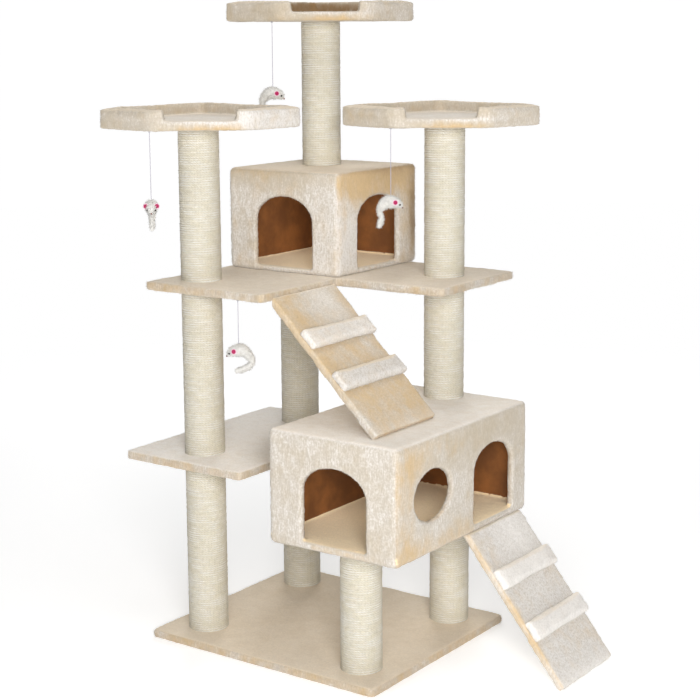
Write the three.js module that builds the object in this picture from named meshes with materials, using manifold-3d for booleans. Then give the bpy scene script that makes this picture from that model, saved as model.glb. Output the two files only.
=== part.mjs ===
// A tall cat tree: ten rope-wrapped post sections on a base board, carrying two shelves, two
// houses for cats, two ramps and three rimmed perches, with four mouse toys hanging on strings.
//
// Millimetres, +Z up. The origin is the centre of the base board's underside. +X points to the
// side with the houses' side doors and the ramps' feet, and -Y to the houses' front doors.

import * as THREE from "three";
import { mergeVertices } from "three/addons/utils/BufferGeometryUtils.js";
import Module from "manifold-3d";

const wasm = await Module();
wasm.setup();

// ---------------------------------------------------------------- driving dimensions

const GAP = 0.3; // kept between pieces that touch
const CUT_PAST = 1; // how far a cut runs past the faces that it opens

const BASE = { width: 784, depth: 688, thickness: 22, corner: 14 };
const BOARD_CORNER = 10;

const ROPE_RADIUS = 58;
const CORE_RADIUS = 49;
const CORE_WALL = 5;
const PLUG = 20; // solid end of a post core, bored for its bolt
const STUD_RADIUS = 4;
const BORE_RADIUS = STUD_RADIUS + GAP;
const ROUND_STEPS = 24;
const CORE_STEPS = 16;

// Where the post stacks stand, in plan.
const LEFT = { x: -276, y: -225 };
const FRONT = { x: 278, y: -231 };
const RIGHT = { x: 256, y: 222 };
const RIGHT_FOOT = { x: 271, y: 233 }; // under the big house, where the stack steps outwards
const BACK = { x: -281, y: 238 };
const TOP = { x: -191, y: 240 };

const LOWER_SHELF = { x0: -475, x1: -51, y0: -342, y1: 332, top: 550, thickness: 24 };
const MID_SHELF = { x0: -386, x1: 383, y0: -339, y1: 401, top: 1054, thickness: 23 };
const MID_SHELF_STEP = { x: 32, y: 10 }; // inner corner of the L

const WALL = 18; // a house's boards with their covers
const FLOOR = 22;
const BIG_HOUSE = { x0: 72, x1: 488, y0: -370, y1: 301, z0: 381, z1: 700 };
const SMALL_HOUSE = { x0: -364, x1: 34, y0: 10, y1: 416, z0: MID_SHELF.top, z1: 1352 };
const BIG_DOOR = { width: 212, spring: 547, top: 619 };
const SMALL_DOOR = { width: 210, spring: 1205, top: 1278 };
const BIG_FRONT_DOOR_X = 286;
const BIG_SIDE_DOOR_Y = 117;
const WINDOW = { y: -193, z: 540, halfWidth: 95, halfHeight: 73 };
const SMALL_FRONT_DOOR_X = -163;
const SMALL_SIDE_DOOR_Y = 213;
const SMALL_FLOOR = 14;

// A ramp's walking surface runs from x0, z0 down to x1, z1. Its middle is at y at the top, and
// moves sideways by skew times the run. rungs gives each rung's share of the way down.
const RAMP = { width: 288, thickness: 20 };
const RUNG = { length: 57, height: 19 };
const UPPER_RAMP = {
  x0: MID_SHELF_STEP.x, z0: 1044, x1: 389, z1: 712, y: -153, skew: -0.06, rungs: [0.335, 0.635],
};
const LOWER_RAMP = {
  x0: 487, z0: BIG_HOUSE.z0 - GAP, x1: 793, z1: 10, y: 131, skew: -0.026, rungs: [0.31, 0.645],
};

const PERCH = { side: 402, chamfer: 188, seat: 24, height: 53.4, rim: 28, notch: 198, corner: 20 };
const SIDE_PERCH_Z = 1485;
const TOP_PERCH_Z = 1776.6;

// A string starts at its staple, a little below the board that the staple is driven into.
const STRING = { radius: 1.1, length: 188, shortLength: 123, sides: 8, steps: 20 };
const STAPLE_DROP = 1.6;
const MOUSE_SIDES = 10;

// ---------------------------------------------------------------- materials

const material = (color, roughness, metalness = 0) =>
  new THREE.MeshStandardMaterial({ color, roughness, metalness });

const creamFur = () => material(0xe6d8bd, 0.95);
const tanFur = () => material(0xd8bf95, 0.95);
const sisal = () => material(0xe3dcc0, 0.9);
const cardboard = () => material(0x9a7447, 0.85);
const steel = () => material(0xb9bcc0, 0.35, 1);
const whiteCord = () => material(0xf4f1ee, 0.8);
const whitePlush = () => material(0xf6f4f0, 0.95);

// ---------------------------------------------------------------- shape helpers

// One closed surface with shared vertices, from any three.js geometry.
function closed(geometry) {
  const bare = geometry.clone();
  bare.deleteAttribute("normal");
  bare.deleteAttribute("uv");
  const merged = mergeVertices(bare, 1e-3);
  merged.computeVertexNormals();
  return merged;
}

function toManifold(geometry) {
  const merged = closed(geometry);
  merged.deleteAttribute("normal");
  return new wasm.Manifold(new wasm.Mesh({
    numProp: 3,
    vertProperties: new Float32Array(merged.attributes.position.array),
    triVerts: new Uint32Array(merged.index.array),
  }));
}

function fromManifold(solid) {
  const cut = solid.getMesh();
  const geometry = new THREE.BufferGeometry();
  geometry.setAttribute("position", new THREE.BufferAttribute(cut.vertProperties, 3));
  geometry.setIndex(new THREE.BufferAttribute(cut.triVerts, 1));
  geometry.computeVertexNormals();
  return geometry;
}

const subtract = (body, ...tools) =>
  fromManifold(tools.reduce((left, tool) => left.subtract(toManifold(tool)), toManifold(body)));

const join = (body, ...others) =>
  fromManifold(others.reduce((left, other) => left.add(toManifold(other)), toManifold(body)));

function mesh(name, geometry, surface, place = {}) {
  const made = new THREE.Mesh(geometry, surface);
  made.name = name;
  made.position.set(place.x ?? 0, place.y ?? 0, place.z ?? 0);
  return made;
}

// A flat outline through the given corners, each rounded off.
function roundedOutline(corners, radius) {
  const shape = new THREE.Shape();
  const points = corners.map(([x, y]) => new THREE.Vector2(x, y));
  points.forEach((corner, i) => {
    const before = points[(i + points.length - 1) % points.length];
    const after = points[(i + 1) % points.length];
    const enter = before.clone().sub(corner).setLength(radius).add(corner);
    const leave = after.clone().sub(corner).setLength(radius).add(corner);
    if (i === 0) shape.moveTo(enter.x, enter.y);
    else shape.lineTo(enter.x, enter.y);
    shape.quadraticCurveTo(corner.x, corner.y, leave.x, leave.y);
  });
  shape.closePath();
  return shape;
}

const rectangle = (x0, x1, y0, y1) => [[x0, y0], [x1, y0], [x1, y1], [x0, y1]];

const CORNER_STEPS = 4; // flats on a rounded corner
const ARCH_STEPS = 10; // flats on a doorway's arch

// A shape made solid, standing on the XY plane.
const plate = (shape, depth, curveSegments = CORNER_STEPS) =>
  closed(new THREE.ExtrudeGeometry(shape, { depth, bevelEnabled: false, curveSegments }));

// A solid turned about +Z from a profile of [radius, height] points.
function turned(profile, steps) {
  const points = profile.map(([radius, height]) => new THREE.Vector2(radius, height));
  return closed(new THREE.LatheGeometry(points, steps).rotateX(Math.PI / 2));
}

// Turns a plate drawn in width and height into an upright wall facing -Y, or facing +X.
const ALONG_X = new THREE.Matrix4().makeBasis(
  new THREE.Vector3(1, 0, 0), new THREE.Vector3(0, 0, 1), new THREE.Vector3(0, -1, 0));
const ALONG_Y = new THREE.Matrix4().makeBasis(
  new THREE.Vector3(0, 1, 0), new THREE.Vector3(0, 0, 1), new THREE.Vector3(1, 0, 0));

// ---------------------------------------------------------------- base and shelves

const BOLT_HEAD = { radius: 10, thickness: 3, recess: 4.5, clearance: 1 };
const boltCorners = { left: LEFT, front: FRONT, right: RIGHT_FOOT, back: BACK };

// The recess for a bolt's head, with the bolt's hole above it.
function boltHole(place) {
  const wide = BOLT_HEAD.radius + BOLT_HEAD.clearance;
  const below = -CUT_PAST;
  const above = BASE.thickness + CUT_PAST;
  const profile = [
    [0, below], [wide, below], [wide, BOLT_HEAD.recess], [BORE_RADIUS, BOLT_HEAD.recess],
    [BORE_RADIUS, above], [0, above],
  ];
  return turned(profile, CORE_STEPS).translate(place.x, place.y, 0);
}

function baseBoard() {
  const outline = rectangle(-BASE.width / 2, BASE.width / 2, -BASE.depth / 2, BASE.depth / 2);
  const board = plate(roundedOutline(outline, BASE.corner), BASE.thickness);
  const holes = Object.values(boltCorners).map(boltHole);
  return mesh("base_board", subtract(board, ...holes), tanFur());
}

function baseBolt(name, place) {
  const headTop = BOLT_HEAD.recess - GAP;
  const headBottom = headTop - BOLT_HEAD.thickness;
  const tip = BASE.thickness + PLUG;
  const profile = [
    [0, headBottom], [BOLT_HEAD.radius, headBottom], [BOLT_HEAD.radius, headTop],
    [STUD_RADIUS, headTop], [STUD_RADIUS, tip], [0, tip],
  ];
  return mesh(`${name}_base_bolt`, turned(profile, CORE_STEPS), steel(), place);
}

function lowerShelf() {
  const { x0, x1, y0, y1, top, thickness } = LOWER_SHELF;
  const board = plate(roundedOutline(rectangle(x0, x1, y0, y1), BOARD_CORNER), thickness);
  return mesh("lower_shelf", board, tanFur(), { z: top - thickness });
}

function midShelf() {
  const { x0, x1, y0, y1, top, thickness } = MID_SHELF;
  const { x, y } = MID_SHELF_STEP;
  const corners = [[x0, y0], [x, y0], [x, y], [x1, y], [x1, y1], [x0, y1]];
  const board = plate(roundedOutline(corners, BOARD_CORNER), thickness);
  return mesh("mid_shelf", board, tanFur(), { z: top - thickness });
}

// ---------------------------------------------------------------- posts

// A hollow tube with a bored plug in each end.
function postCore(length) {
  const inside = CORE_RADIUS - CORE_WALL;
  return turned([
    [CORE_RADIUS, 0], [CORE_RADIUS, length], [BORE_RADIUS, length], [BORE_RADIUS, length - PLUG],
    [inside, length - PLUG], [inside, PLUG], [BORE_RADIUS, PLUG], [BORE_RADIUS, 0],
    [CORE_RADIUS, 0],
  ], CORE_STEPS);
}

function ropeWrap(length) {
  // The flats of the faceted bore clear the core's corners.
  const inside = (CORE_RADIUS + GAP) / Math.cos(Math.PI / ROUND_STEPS);
  const profile = [
    [ROPE_RADIUS, 0], [ROPE_RADIUS, length], [inside, length], [inside, 0], [ROPE_RADIUS, 0],
  ];
  return turned(profile, ROUND_STEPS);
}

const lowerShelfUnder = LOWER_SHELF.top - LOWER_SHELF.thickness;
const midShelfUnder = MID_SHELF.top - MID_SHELF.thickness;

// Each section: its name's ending, and the levels of the boards below and above it.
const stacks = [
  { name: "left", place: LEFT, sections: [
    ["1", BASE.thickness, lowerShelfUnder],
    ["2", LOWER_SHELF.top, midShelfUnder],
    ["3", MID_SHELF.top, SIDE_PERCH_Z],
  ] },
  { name: "back", place: BACK, sections: [
    ["1", BASE.thickness, lowerShelfUnder],
    ["2", LOWER_SHELF.top, midShelfUnder],
  ] },
  { name: "front", place: FRONT, sections: [["1", BASE.thickness, BIG_HOUSE.z0]] },
  { name: "right", place: RIGHT_FOOT, sections: [["1", BASE.thickness, BIG_HOUSE.z0]] },
  { name: "right", place: RIGHT, sections: [
    ["2", BIG_HOUSE.z1, midShelfUnder],
    ["3", MID_SHELF.top, SIDE_PERCH_Z],
  ] },
  { name: "top", place: TOP, sections: [["1", SMALL_HOUSE.z1, TOP_PERCH_Z]] },
];

function postStack({ name, place, sections }) {
  const stack = new THREE.Group();
  stack.position.set(place.x, place.y, 0);
  for (const [ending, below, above] of sections) {
    const z = below + GAP;
    const length = above - below - 2 * GAP;
    stack.add(mesh(`${name}_post_core_${ending}`, postCore(length), cardboard(), { z }));
    stack.add(mesh(`${name}_post_rope_${ending}`, ropeWrap(length), sisal(), { z }));
  }
  return stack;
}

// ---------------------------------------------------------------- houses

// A wall's outline, in width and height, with an arched doorway open at its lower edge.
function wallShape(u0, u1, z0, z1, doorAt, door) {
  const shape = new THREE.Shape();
  shape.moveTo(u0, z0);
  if (doorAt !== undefined) {
    const half = door.width / 2;
    shape.lineTo(doorAt - half, z0);
    shape.lineTo(doorAt - half, door.spring);
    const rise = door.top - door.spring;
    shape.absellipse(doorAt, door.spring, half, rise, Math.PI, 0, true);
    shape.lineTo(doorAt + half, z0);
  }
  shape.lineTo(u1, z0);
  shape.lineTo(u1, z1);
  shape.lineTo(u0, z1);
  shape.closePath();
  return shape;
}

// Floor, roof and four walls. doors gives the front door's x, the side door's y and their shape.
function house(name, box, floorThickness, doors, window) {
  const { x0, x1, y0, y1, z0, z1 } = box;
  const low = z0 + floorThickness + GAP;
  const high = z1 - FLOOR - GAP;
  const plan = () => roundedOutline(rectangle(x0, x1, y0, y1), BOARD_CORNER);
  const frontBack = (at) => plate(wallShape(x0, x1, low, high, at, doors.shape), WALL, ARCH_STEPS)
    .applyMatrix4(ALONG_X);
  const sideShape = (at) => wallShape(y0 + WALL + GAP, y1 - WALL - GAP, low, high, at, doors.shape);
  const side = (shape) => plate(shape, WALL, ARCH_STEPS).applyMatrix4(ALONG_Y);

  const openSide = sideShape(doors.sideY);
  if (window) {
    const hole = new THREE.Path();
    hole.absellipse(window.y, window.z, window.halfWidth, window.halfHeight, 0, 2 * Math.PI);
    openSide.holes.push(hole);
  }

  const group = new THREE.Group();
  group.add(
    mesh(`${name}_floor`, plate(plan(), floorThickness - GAP), tanFur(), { z: z0 + GAP }),
    mesh(`${name}_roof`, plate(plan(), FLOOR - GAP), tanFur(), { z: z1 - FLOOR }),
    mesh(`${name}_front_wall`, frontBack(doors.frontX), creamFur(), { y: y0 + WALL }),
    mesh(`${name}_back_wall`, frontBack(undefined), creamFur(), { y: y1 }),
    mesh(`${name}_left_wall`, side(sideShape(undefined)), creamFur(), { x: x0 }),
    mesh(`${name}_right_wall`, side(openSide), creamFur(), { x: x1 - WALL }),
  );
  return group;
}

const bigDoors = { frontX: BIG_FRONT_DOOR_X, sideY: BIG_SIDE_DOOR_Y, shape: BIG_DOOR };
const smallDoors = { frontX: SMALL_FRONT_DOOR_X, sideY: SMALL_SIDE_DOOR_Y, shape: SMALL_DOOR };

// ---------------------------------------------------------------- ramps

// Side outline of a ramp's board, in x and z. Its top end is cut upright, to butt against a
// shelf's edge, or level, to fit under a floor; its foot is cut level where it rests.
function rampShape({ x0, z0, x1, z1 }, footLevel, levelTop) {
  const slope = new THREE.Vector2(x1 - x0, z1 - z0).normalize();
  const up = new THREE.Vector2(-slope.y, slope.x);
  const under = new THREE.Vector2(x0, z0).addScaledVector(up, -RAMP.thickness);
  const underAt = (distance) => under.clone().addScaledVector(slope, distance);
  const endDrop = (z1 - footLevel) / up.y;
  const toe = new THREE.Vector2(x1, z1).addScaledVector(up, -endDrop);
  const heel = underAt((footLevel - under.y) / slope.y);
  const topUnder = levelTop
    ? underAt((z0 - under.y) / slope.y)
    : underAt((x0 - under.x) / slope.x);
  return new THREE.Shape([new THREE.Vector2(x0, z0), topUnder, heel, toe, new THREE.Vector2(x1, z1)]);
}

function ramp(name, run, footLevel, levelTop) {
  const group = new THREE.Group();
  const skewed = new THREE.Matrix4().makeShear(run.skew, 0, 0, 0, 0, 0);
  const board = plate(rampShape(run, footLevel, levelTop), RAMP.width)
    .applyMatrix4(ALONG_X)
    .translate(-run.x0, run.y + RAMP.width / 2, 0)
    .applyMatrix4(skewed);
  const topX = run.x0 + (levelTop ? 0 : GAP);
  group.add(mesh(`${name}_ramp_board`, board, creamFur(), { x: topX }));

  const angle = Math.atan2(run.z0 - run.z1, run.x1 - run.x0);
  const lift = RUNG.height / 2 + GAP;
  run.rungs.forEach((share, i) => {
    const along = (run.x1 - run.x0) * share;
    const box = closed(new THREE.BoxGeometry(RUNG.length, RAMP.width, RUNG.height));
    const rung = mesh(`${name}_ramp_rung_${i + 1}`, box, creamFur());
    rung.position.set(
      topX + along + Math.sin(angle) * lift,
      run.y + along * run.skew,
      run.z0 + (run.z1 - run.z0) * share + Math.cos(angle) * lift,
    );
    rung.rotation.y = angle;
    group.add(rung);
  });
  return group;
}

// ---------------------------------------------------------------- perches

// The perch's outline: a square with its front corner, towards +X and -Y, cut off.
function perchOutline(inset) {
  const half = PERCH.side / 2 - inset;
  // The cut edge moves in by the inset too, measured square to itself.
  const cut = PERCH.chamfer - inset * (2 - Math.SQRT2);
  const corners = [[-half, -half], [half - cut, -half], [half, cut - half], [half, half], [-half, half]];
  return roundedOutline(corners, PERCH.corner);
}

function perchRim() {
  const height = PERCH.height - PERCH.seat - GAP;
  const ring = subtract(
    plate(perchOutline(0), height),
    plate(perchOutline(PERCH.rim), height + 2 * CUT_PAST).translate(0, 0, -CUT_PAST),
  );
  // The way in: a gap in the rim at the middle of the cut-off corner.
  const notch = new THREE.BoxGeometry(PERCH.notch, 4 * PERCH.rim, 4 * PERCH.height);
  const reach = (PERCH.side - PERCH.chamfer) / 2;
  notch.rotateZ(Math.PI / 4).translate(reach, -reach, 0);
  return subtract(ring, notch);
}

function perch(name, place, z, turnDegrees) {
  const group = new THREE.Group();
  group.position.set(place.x, place.y, z);
  group.rotation.z = THREE.MathUtils.degToRad(turnDegrees);
  const seat = plate(perchOutline(0), PERCH.seat);
  group.add(mesh(`${name}_perch_seat`, seat, tanFur()));
  group.add(mesh(`${name}_perch_rim`, perchRim(), creamFur(), { z: PERCH.seat + GAP }));
  return group;
}

// ---------------------------------------------------------------- mouse toys

// A mouse's middle line from nose to tail tip, as [forward, up, radius], below its string.
const BODY_LINE = [
  [36, -37, 3], [28, -28, 10], [12, -20, 17], [-8, -19, 18], [-24, -30, 14],
];
const TAIL_DOWN = [[-31, -47, 9], [-27, -63, 8], [-30, -80, 10], [-35, -94, 8]];
const TAIL_UNDER = [[-25, -46, 11], [-17, -62, 9], [-11, -77, 8], [-7, -87, 7]];
const TAIL_CURLED = [[-32, -46, 9], [-26, -60, 8], [-8, -68, 9], [13, -73, 8]];

// A closed skin of round rings along the line, with a point at each end.
function loft(line, sides) {
  const middle = line.map(([x, z]) => new THREE.Vector3(x, 0, z));
  const positions = [];
  const indices = [];
  line.forEach(([, , radius], i) => {
    const ahead = middle[Math.min(i + 1, line.length - 1)];
    const behind = middle[Math.max(i - 1, 0)];
    const along = ahead.clone().sub(behind).normalize();
    const across = new THREE.Vector3(0, 1, 0);
    const normal = across.clone().cross(along);
    for (let k = 0; k < sides; k += 1) {
      const turn = (2 * Math.PI * k) / sides;
      const point = middle[i].clone()
        .addScaledVector(across, radius * Math.cos(turn))
        .addScaledVector(normal, radius * Math.sin(turn));
      positions.push(point.x, point.y, point.z);
    }
  });
  for (let i = 0; i + 1 < line.length; i += 1) {
    for (let k = 0; k < sides; k += 1) {
      const a = i * sides + k;
      const b = i * sides + ((k + 1) % sides);
      indices.push(a, a + sides, b, b, a + sides, b + sides);
    }
  }
  const last = (line.length - 1) * sides;
  for (let k = 1; k + 1 < sides; k += 1) {
    indices.push(0, k, k + 1, last, last + k + 1, last + k);
  }
  const geometry = new THREE.BufferGeometry();
  geometry.setAttribute("position", new THREE.Float32BufferAttribute(positions, 3));
  geometry.setIndex(indices);
  return geometry;
}

const EAR = { radius: 7.5, halfThickness: 2.5, forward: 12, sideways: 17, up: -20, steps: 8 };

// A thick disc standing upright beside the head. sign is 1 for the left ear and -1 for the right.
function ear(sign) {
  const disc = new THREE.SphereGeometry(1, EAR.steps, EAR.steps - 2);
  disc.scale(EAR.radius, EAR.halfThickness, EAR.radius);
  return disc.translate(EAR.forward, EAR.sideways * sign, EAR.up);
}

function mouse(tail) {
  return join(loft([...BODY_LINE, ...tail], MOUSE_SIDES), ear(1), ear(-1));
}

// A toy hangs from its staple under a board, its mouse's back length below the board. heading
// turns its nose, in degrees from +X.
function toy(name, place, under, length, tail, heading) {
  const group = new THREE.Group();
  group.position.set(place.x, place.y, under - STAPLE_DROP);
  const section = new THREE.Shape().absarc(0, 0, STRING.radius, 0, 2 * Math.PI);
  const hang = length - STAPLE_DROP;
  const line = new THREE.LineCurve3(
    new THREE.Vector3(0, 0, 0), new THREE.Vector3(0, 0, GAP - hang));
  const tube = new THREE.ExtrudeGeometry(section, {
    // A full circle has twice as many sides as curve segments.
    extrudePath: line, steps: STRING.steps, curveSegments: STRING.sides / 2, bevelEnabled: false,
  });
  group.add(mesh(`${name}_toy_string`, closed(tube), whiteCord()));
  const body = mesh(`${name}_toy_mouse`, mouse(tail), whitePlush(), { z: -hang });
  body.rotation.z = THREE.MathUtils.degToRad(heading);
  group.add(body);
  return group;
}

const FACING_ACROSS = 35; // nose towards +X and +Y, in degrees from +X
const FACING_OUT = -64; // nose towards -Y and a little towards +X

// ---------------------------------------------------------------- the whole tree

const tree = new THREE.Group();
tree.add(baseBoard());
for (const [name, place] of Object.entries(boltCorners)) tree.add(baseBolt(name, place));
for (const stack of stacks) tree.add(postStack(stack));
tree.add(
  lowerShelf(),
  midShelf(),
  house("big_house", BIG_HOUSE, FLOOR, bigDoors, WINDOW),
  house("small_house", SMALL_HOUSE, SMALL_FLOOR, smallDoors),
  ramp("upper", UPPER_RAMP, BIG_HOUSE.z1 + GAP, false),
  ramp("lower", LOWER_RAMP, 0, true),
  perch("left", { x: -270, y: -221 }, SIDE_PERCH_Z, -5),
  perch("right", { x: 247, y: 215 }, SIDE_PERCH_Z, -12),
  perch("top", { x: -192, y: 241 }, TOP_PERCH_Z, -3),
  toy("left", { x: -294, y: -406 }, SIDE_PERCH_Z, STRING.length, TAIL_UNDER,
    FACING_OUT),
  toy("right", { x: 193, y: 42 }, SIDE_PERCH_Z, STRING.length, TAIL_DOWN, FACING_ACROSS),
  toy("top", { x: -231, y: 58 }, TOP_PERCH_Z, STRING.length, TAIL_DOWN, FACING_ACROSS),
  toy("shelf", { x: -64, y: -322 }, midShelfUnder, STRING.shortLength, TAIL_CURLED,
    FACING_ACROSS + 180),
);

export default tree;
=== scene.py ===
"""The looks of a tall cat tree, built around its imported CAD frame.

Plush covers, rope windings, padded perch rims and mouse toys take the places of the plain CAD
solids. Everything is in metres, +Z up, in the frame's own place.
"""

import itertools
import math

import bmesh
import bpy
import numpy as np
from mathutils import Matrix, Vector


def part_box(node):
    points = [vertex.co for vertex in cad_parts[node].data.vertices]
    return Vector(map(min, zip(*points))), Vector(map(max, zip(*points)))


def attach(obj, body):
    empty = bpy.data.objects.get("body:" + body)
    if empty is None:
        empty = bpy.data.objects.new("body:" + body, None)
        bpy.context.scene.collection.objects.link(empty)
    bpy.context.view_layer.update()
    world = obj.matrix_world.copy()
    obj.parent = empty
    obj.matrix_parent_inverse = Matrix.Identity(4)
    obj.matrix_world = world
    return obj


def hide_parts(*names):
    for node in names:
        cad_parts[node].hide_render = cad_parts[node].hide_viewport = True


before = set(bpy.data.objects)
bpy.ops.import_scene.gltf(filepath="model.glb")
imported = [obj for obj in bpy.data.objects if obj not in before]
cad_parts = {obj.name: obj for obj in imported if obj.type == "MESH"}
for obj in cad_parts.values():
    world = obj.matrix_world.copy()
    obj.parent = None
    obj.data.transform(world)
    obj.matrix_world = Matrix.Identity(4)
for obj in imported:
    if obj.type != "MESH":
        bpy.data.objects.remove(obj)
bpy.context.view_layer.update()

TREE = "tree"

# ---------------------------------------------------------------- camera, light and floor

EYE = Vector((2.7072, -3.6827, 1.7624))
YAW = 35.51  # degrees, turned left from looking along +Y
PITCH = 10.12  # downwards
ROLL = -0.34
LENS = 83.29
SENSOR = 36.0
SHIFT = (0.0007, -0.0505)


def turn(degrees, axis):
    return Matrix.Rotation(math.radians(degrees), 4, axis)


def add_object(name, data):
    made = bpy.data.objects.new(name, data)
    bpy.context.collection.objects.link(made)
    return made


def make_camera():
    data = bpy.data.cameras.new("camera")
    data.lens = LENS
    data.sensor_width = SENSOR
    data.shift_x, data.shift_y = SHIFT
    data.clip_end = 100
    camera = add_object("camera", data)
    camera.matrix_world = Matrix.Translation(EYE) @ turn(YAW, "Z") @ turn(90 - PITCH, "X") @ turn(ROLL, "Z")
    bpy.context.scene.camera = camera


def area_light(name, place, size, power):
    """A square light that faces the middle of the tree."""
    data = bpy.data.lights.new(name, "AREA")
    data.shape = "SQUARE"
    data.size = size
    data.energy = power
    light = add_object(name, data)
    light.location = place
    towards = Vector((0, 0, 0.9)) - Vector(place)
    light.rotation_euler = towards.to_track_quat("-Z", "Y").to_euler()
    return light


def room_light(house, power):
    """A weak light under a house's roof, for what its pale floor gets from all sides."""
    low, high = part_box(f"{house}_roof")
    place = ((low.x + high.x) / 2, (low.y + high.y) / 2, low.z - 0.002)
    light = area_light(f"{house}_light", place, 0.6 * min(high.x - low.x, high.y - low.y), power)
    light.rotation_euler = (0, 0, 0)
    light.visible_camera = False


FLOOR_REACH = 12
FLOOR_GLOW = 0.36  # of the floor round the tree; further away it glows as white as the backdrop
FLOOR_FADE = (1.3, 4.5)
FLOOR_PAINT = 0.85


def floor_material():
    """White paint that shows shadows near the tree, and only glows further away."""
    material, tree, shader = new_material("floor_white")
    far = node(tree, "VectorMath", {"operation": "LENGTH"}, i0=object_place(tree)).outputs["Value"]
    faded = ramp(tree, far, *FLOOR_FADE)
    glow = maths(tree, "MULTIPLY_ADD", faded, 1 - FLOOR_GLOW, FLOOR_GLOW)
    tree.links.new(glow, shader.inputs["Emission Strength"])
    shader.inputs["Emission Color"].default_value = (1, 1, 1, 1)
    paint_left = maths(tree, "MULTIPLY_ADD", faded, -FLOOR_PAINT, FLOOR_PAINT)
    tree.links.new(grey(tree, paint_left), shader.inputs["Base Color"])
    shader.inputs["Roughness"].default_value = 0.9
    shader.inputs["Specular IOR Level"].default_value = 0.0
    return material


def make_studio():
    """Soft light mostly from beside the camera, and a white floor that runs into a white backdrop."""
    area_light("key_light", (3.7, -3.9, 2.5), 1.6, 142)
    area_light("front_light", (2.9, -3.9, 1.7), 1.6, 106)
    area_light("top_light", (0.6, -0.8, 4.8), 2.4, 54)
    area_light("back_light", (-2.8, 4.4, 2.6), 2.4, 140)
    room_light("big_house", 0.18)
    room_light("small_house", 0.25)
    world = bpy.data.worlds.new("studio")
    world.use_nodes = True
    world.node_tree.nodes["Background"].inputs["Color"].default_value = (1, 1, 1, 1)
    world.node_tree.nodes["Background"].inputs["Strength"].default_value = 0.16
    bpy.context.scene.world = world
    bpy.context.scene.view_settings.view_transform = "Standard"

    round_edge = [2 * math.pi * k / 64 for k in range(64)]
    corners = [(FLOOR_REACH * math.cos(angle), FLOOR_REACH * math.sin(angle), 0) for angle in round_edge]
    floor = new_object("floor", corners, [tuple(range(len(corners)))], [floor_material()])
    dome = bmesh.new()
    bmesh.ops.create_uvsphere(dome, u_segments=32, v_segments=16, radius=4 * FLOOR_REACH)
    bmesh.ops.reverse_faces(dome, faces=dome.faces)
    mesh = bpy.data.meshes.new("backdrop")
    dome.to_mesh(mesh)
    dome.free()
    material, _, shader = new_material("backdrop_white")
    shader.inputs["Base Color"].default_value = (0, 0, 0, 1)
    shader.inputs["Emission Color"].default_value = (1, 1, 1, 1)
    shader.inputs["Emission Strength"].default_value = 1.0
    mesh.materials.append(material)
    backdrop = add_object("backdrop", mesh)
    backdrop.visible_diffuse = False
    backdrop.visible_glossy = False
    backdrop.visible_shadow = False


# ---------------------------------------------------------------- material nodes


def rgb(red, green, blue):
    """A colour given from 0 to 255 as seen on a screen, made linear."""
    linear = [((c / 255 + 0.055) / 1.055) ** 2.4 if c > 10 else c / 255 / 12.92 for c in (red, green, blue)]
    return (*linear, 1)


def new_material(name):
    material = bpy.data.materials.new(name)
    material.use_nodes = True
    return material, material.node_tree, material.node_tree.nodes["Principled BSDF"]


def node(tree, kind, settings=None, **inputs):
    """A shader node. An input is a value, or the socket that feeds it."""
    made = tree.nodes.new("ShaderNode" + kind)
    for key, value in (settings or {}).items():
        setattr(made, key, value)
    for key, value in inputs.items():
        slot = made.inputs[int(key[1:])] if key[0] == "i" and key[1:].isdigit() else made.inputs[key]
        if isinstance(value, bpy.types.NodeSocket):
            tree.links.new(value, slot)
        else:
            slot.default_value = value
    return made


def maths(tree, operation, a, b=0.0, c=0.0):
    return node(tree, "Math", {"operation": operation}, i0=a, i1=b, i2=c).outputs[0]


def blend_colours(tree, factor, a, b, kind="MIX"):
    made = tree.nodes.new("ShaderNodeMix")
    made.data_type = "RGBA"
    made.blend_type = kind
    for index, value in ((0, factor), (6, a), (7, b)):
        if isinstance(value, bpy.types.NodeSocket):
            tree.links.new(value, made.inputs[index])
        else:
            made.inputs[index].default_value = value
    return made.outputs[2]


def grey(tree, level):
    return node(tree, "CombineColor", i0=level, i1=level, i2=level).outputs[0]


def darkened(tree, colour, shade):
    return blend_colours(tree, 1.0, colour, grey(tree, shade), "MULTIPLY")


def ramp(tree, value, low, high):
    """0 below low, 1 above high, and a smooth rise between."""
    made = node(tree, "MapRange", {"interpolation_type": "SMOOTHSTEP"}, Value=value)
    made.inputs["From Min"].default_value = low
    made.inputs["From Max"].default_value = high
    return made.outputs["Result"]


def object_place(tree):
    return node(tree, "TexCoord").outputs["Object"]


def speckle(tree, place, scale, detail=3.0):
    """Noise from 0 to 1 whose grains are about 1 / scale metres."""
    return node(tree, "TexNoise", Vector=place, Scale=scale, Detail=detail, Roughness=0.6).outputs["Fac"]


def bump(tree, height, distance, strength=1.0, under=None):
    made = node(tree, "Bump", Height=height, Distance=distance, Strength=strength)
    if under is not None:
        tree.links.new(under, made.inputs["Normal"])
    return made.outputs["Normal"]


def attribute(tree, name):
    return node(tree, "Attribute", {"attribute_name": name}).outputs["Fac"]


# ---------------------------------------------------------------- materials

SIDE_LIGHT = 1.22  # how bright the studio's light makes upright faces, next to their own colour
TOP_LIGHT = 0.84


def dyed(red, green, blue, light=SIDE_LIGHT):
    """The cloth colour that looks like the given one in the studio's light."""
    return (*[c / light for c in rgb(red, green, blue)[:3]], 1)


PALE = dyed(238, 233, 227)
CREAM = dyed(218, 208, 194)
TAN = dyed(202, 187, 162)
GOLD = dyed(222, 192, 146)
TOP_TAN = dyed(215, 202, 182, TOP_LIGHT)
TOP_GREY = dyed(203, 187, 163, TOP_LIGHT)
FLOOR_TAN = dyed(232, 209, 169, TOP_LIGHT)
WHITEST = (0.93, 0.89, 0.84, 1)
SHADED_BROWN = dyed(150, 120, 84)


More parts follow.
